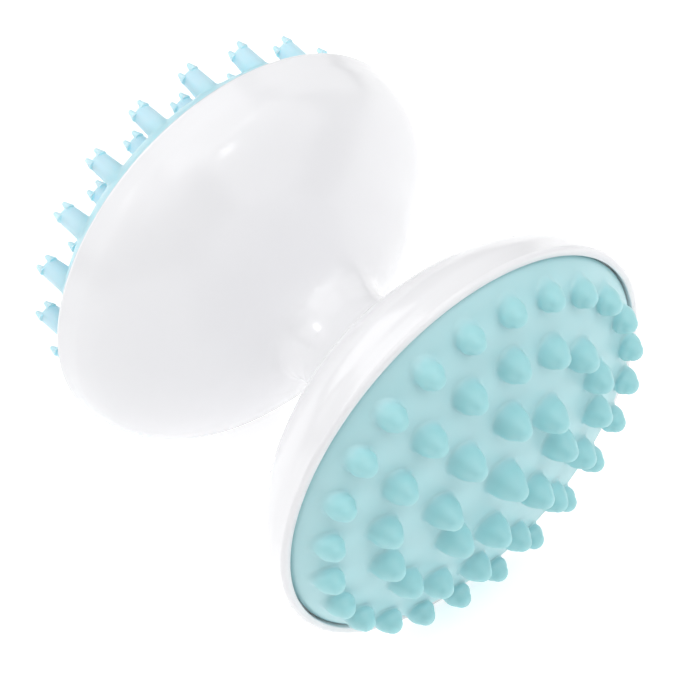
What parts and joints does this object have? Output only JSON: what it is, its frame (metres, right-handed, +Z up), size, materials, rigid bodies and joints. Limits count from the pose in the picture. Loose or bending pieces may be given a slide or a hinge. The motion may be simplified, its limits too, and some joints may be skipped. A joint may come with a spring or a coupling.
{
  "type": "scalp massager brush",
  "caption": "Double-ended hand massager shaped like a spool: a soft pad of rounded bumps on one end, a soft pad of short bristles on the other, and a narrow waist to grip.",
  "frame": {"origin": "centre of the bounding box's bottom, on the table between the two rims it lies on", "axes": "+Y along the body's turning axis towards the bristle face, -Y towards the bump face, +Z up, +X across"},
  "size_m": [0.0848, 0.0982, 0.0847],
  "materials": {
    "white_shell": "smooth glossy white injection-moulded plastic",
    "teal_silicone": "satin pale teal silicone, slightly translucent",
    "natural_plastic": "uncoloured matt plastic, hidden under the pads",
    "screw_steel": "zinc-plated self-tapping screw"
  },
  "bodies": {
    "spool": {"bristle_shell": "white_shell", "bump_shell": "white_shell", "waist_screw": "screw_steel"},
    "bump_insert": {"bump_pad": "teal_silicone", "bump_carrier": "natural_plastic"},
    "bristle_insert": {"bristle_pad": "teal_silicone", "bristle_carrier": "natural_plastic"}
  },
  "joints": [
    {"name": "bump_insert_pull", "type": "slide", "parent": "spool", "child": "bump_insert", "axis": [0, -1, 0], "range_m": [0, 0.03]},
    {"name": "bristle_insert_pull", "type": "slide", "parent": "spool", "child": "bristle_insert", "axis": [0, 1, 0], "range_m": [0, 0.03]}
  ]
}
